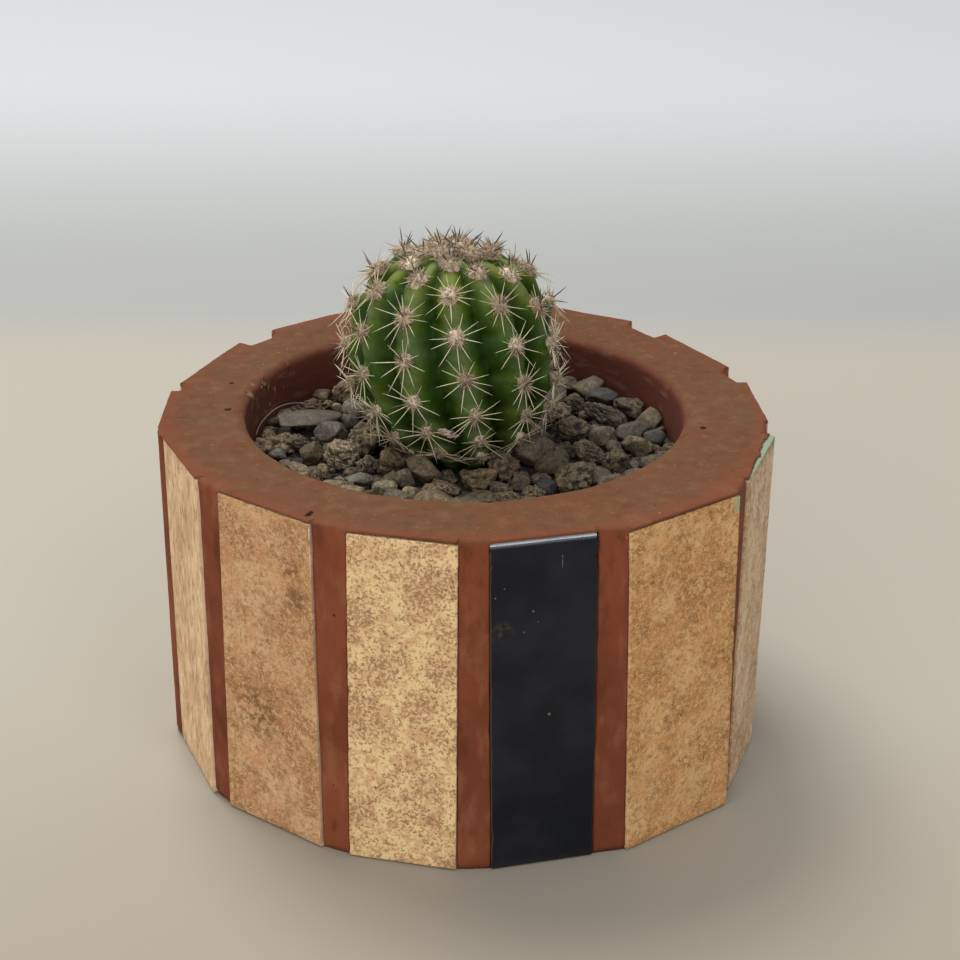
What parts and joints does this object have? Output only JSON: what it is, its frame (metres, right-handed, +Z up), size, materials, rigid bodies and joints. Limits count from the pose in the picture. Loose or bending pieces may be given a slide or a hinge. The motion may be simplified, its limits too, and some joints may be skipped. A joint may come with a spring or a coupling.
{
  "type": "potted ball cactus",
  "caption": "Small ribbed ball cactus with woolly areoles and stiff spines, in gravel in a round cast pot with pale, brown and black tiles set into its outside.",
  "frame": {"origin": "on the pot's axis, in the plane that the pot stands on", "axes": "+Z up along the pot's axis, -Y towards the pictured front, +X to the right seen from the front"},
  "size_m": [0.1078, 0.1096, 0.0952],
  "materials": {
    "concrete": "matt, fine pits and cracks",
    "tile_streaked": "matt, streaked",
    "tile_cork": "matt, fine brown fleck",
    "tile_cream": "satin, mottled",
    "tile_black": "glossy glaze",
    "tile_grey": "matt, fine fleck",
    "soil": "matt",
    "gravel": "matt, porous",
    "cactus": "waxy skin, woolly areoles, stiff spines"
  },
  "bodies": {
    "root": {"pot": "concrete", "tile_01": "tile_streaked", "tile_02": "tile_cork", "tile_03": "tile_cream", "tile_04": "tile_black", "tile_05": "tile_cork", "tile_06": "tile_grey", "tile_07": "tile_cream", "tile_08": "tile_cork", "tile_09": "tile_streaked", "tile_10": "tile_black", "tile_11": "tile_cork", "tile_12": "tile_cream", "tile_13": "tile_grey", "soil": "soil", "gravel": "gravel", "cactus": "cactus"}
  },
  "joints": []
}
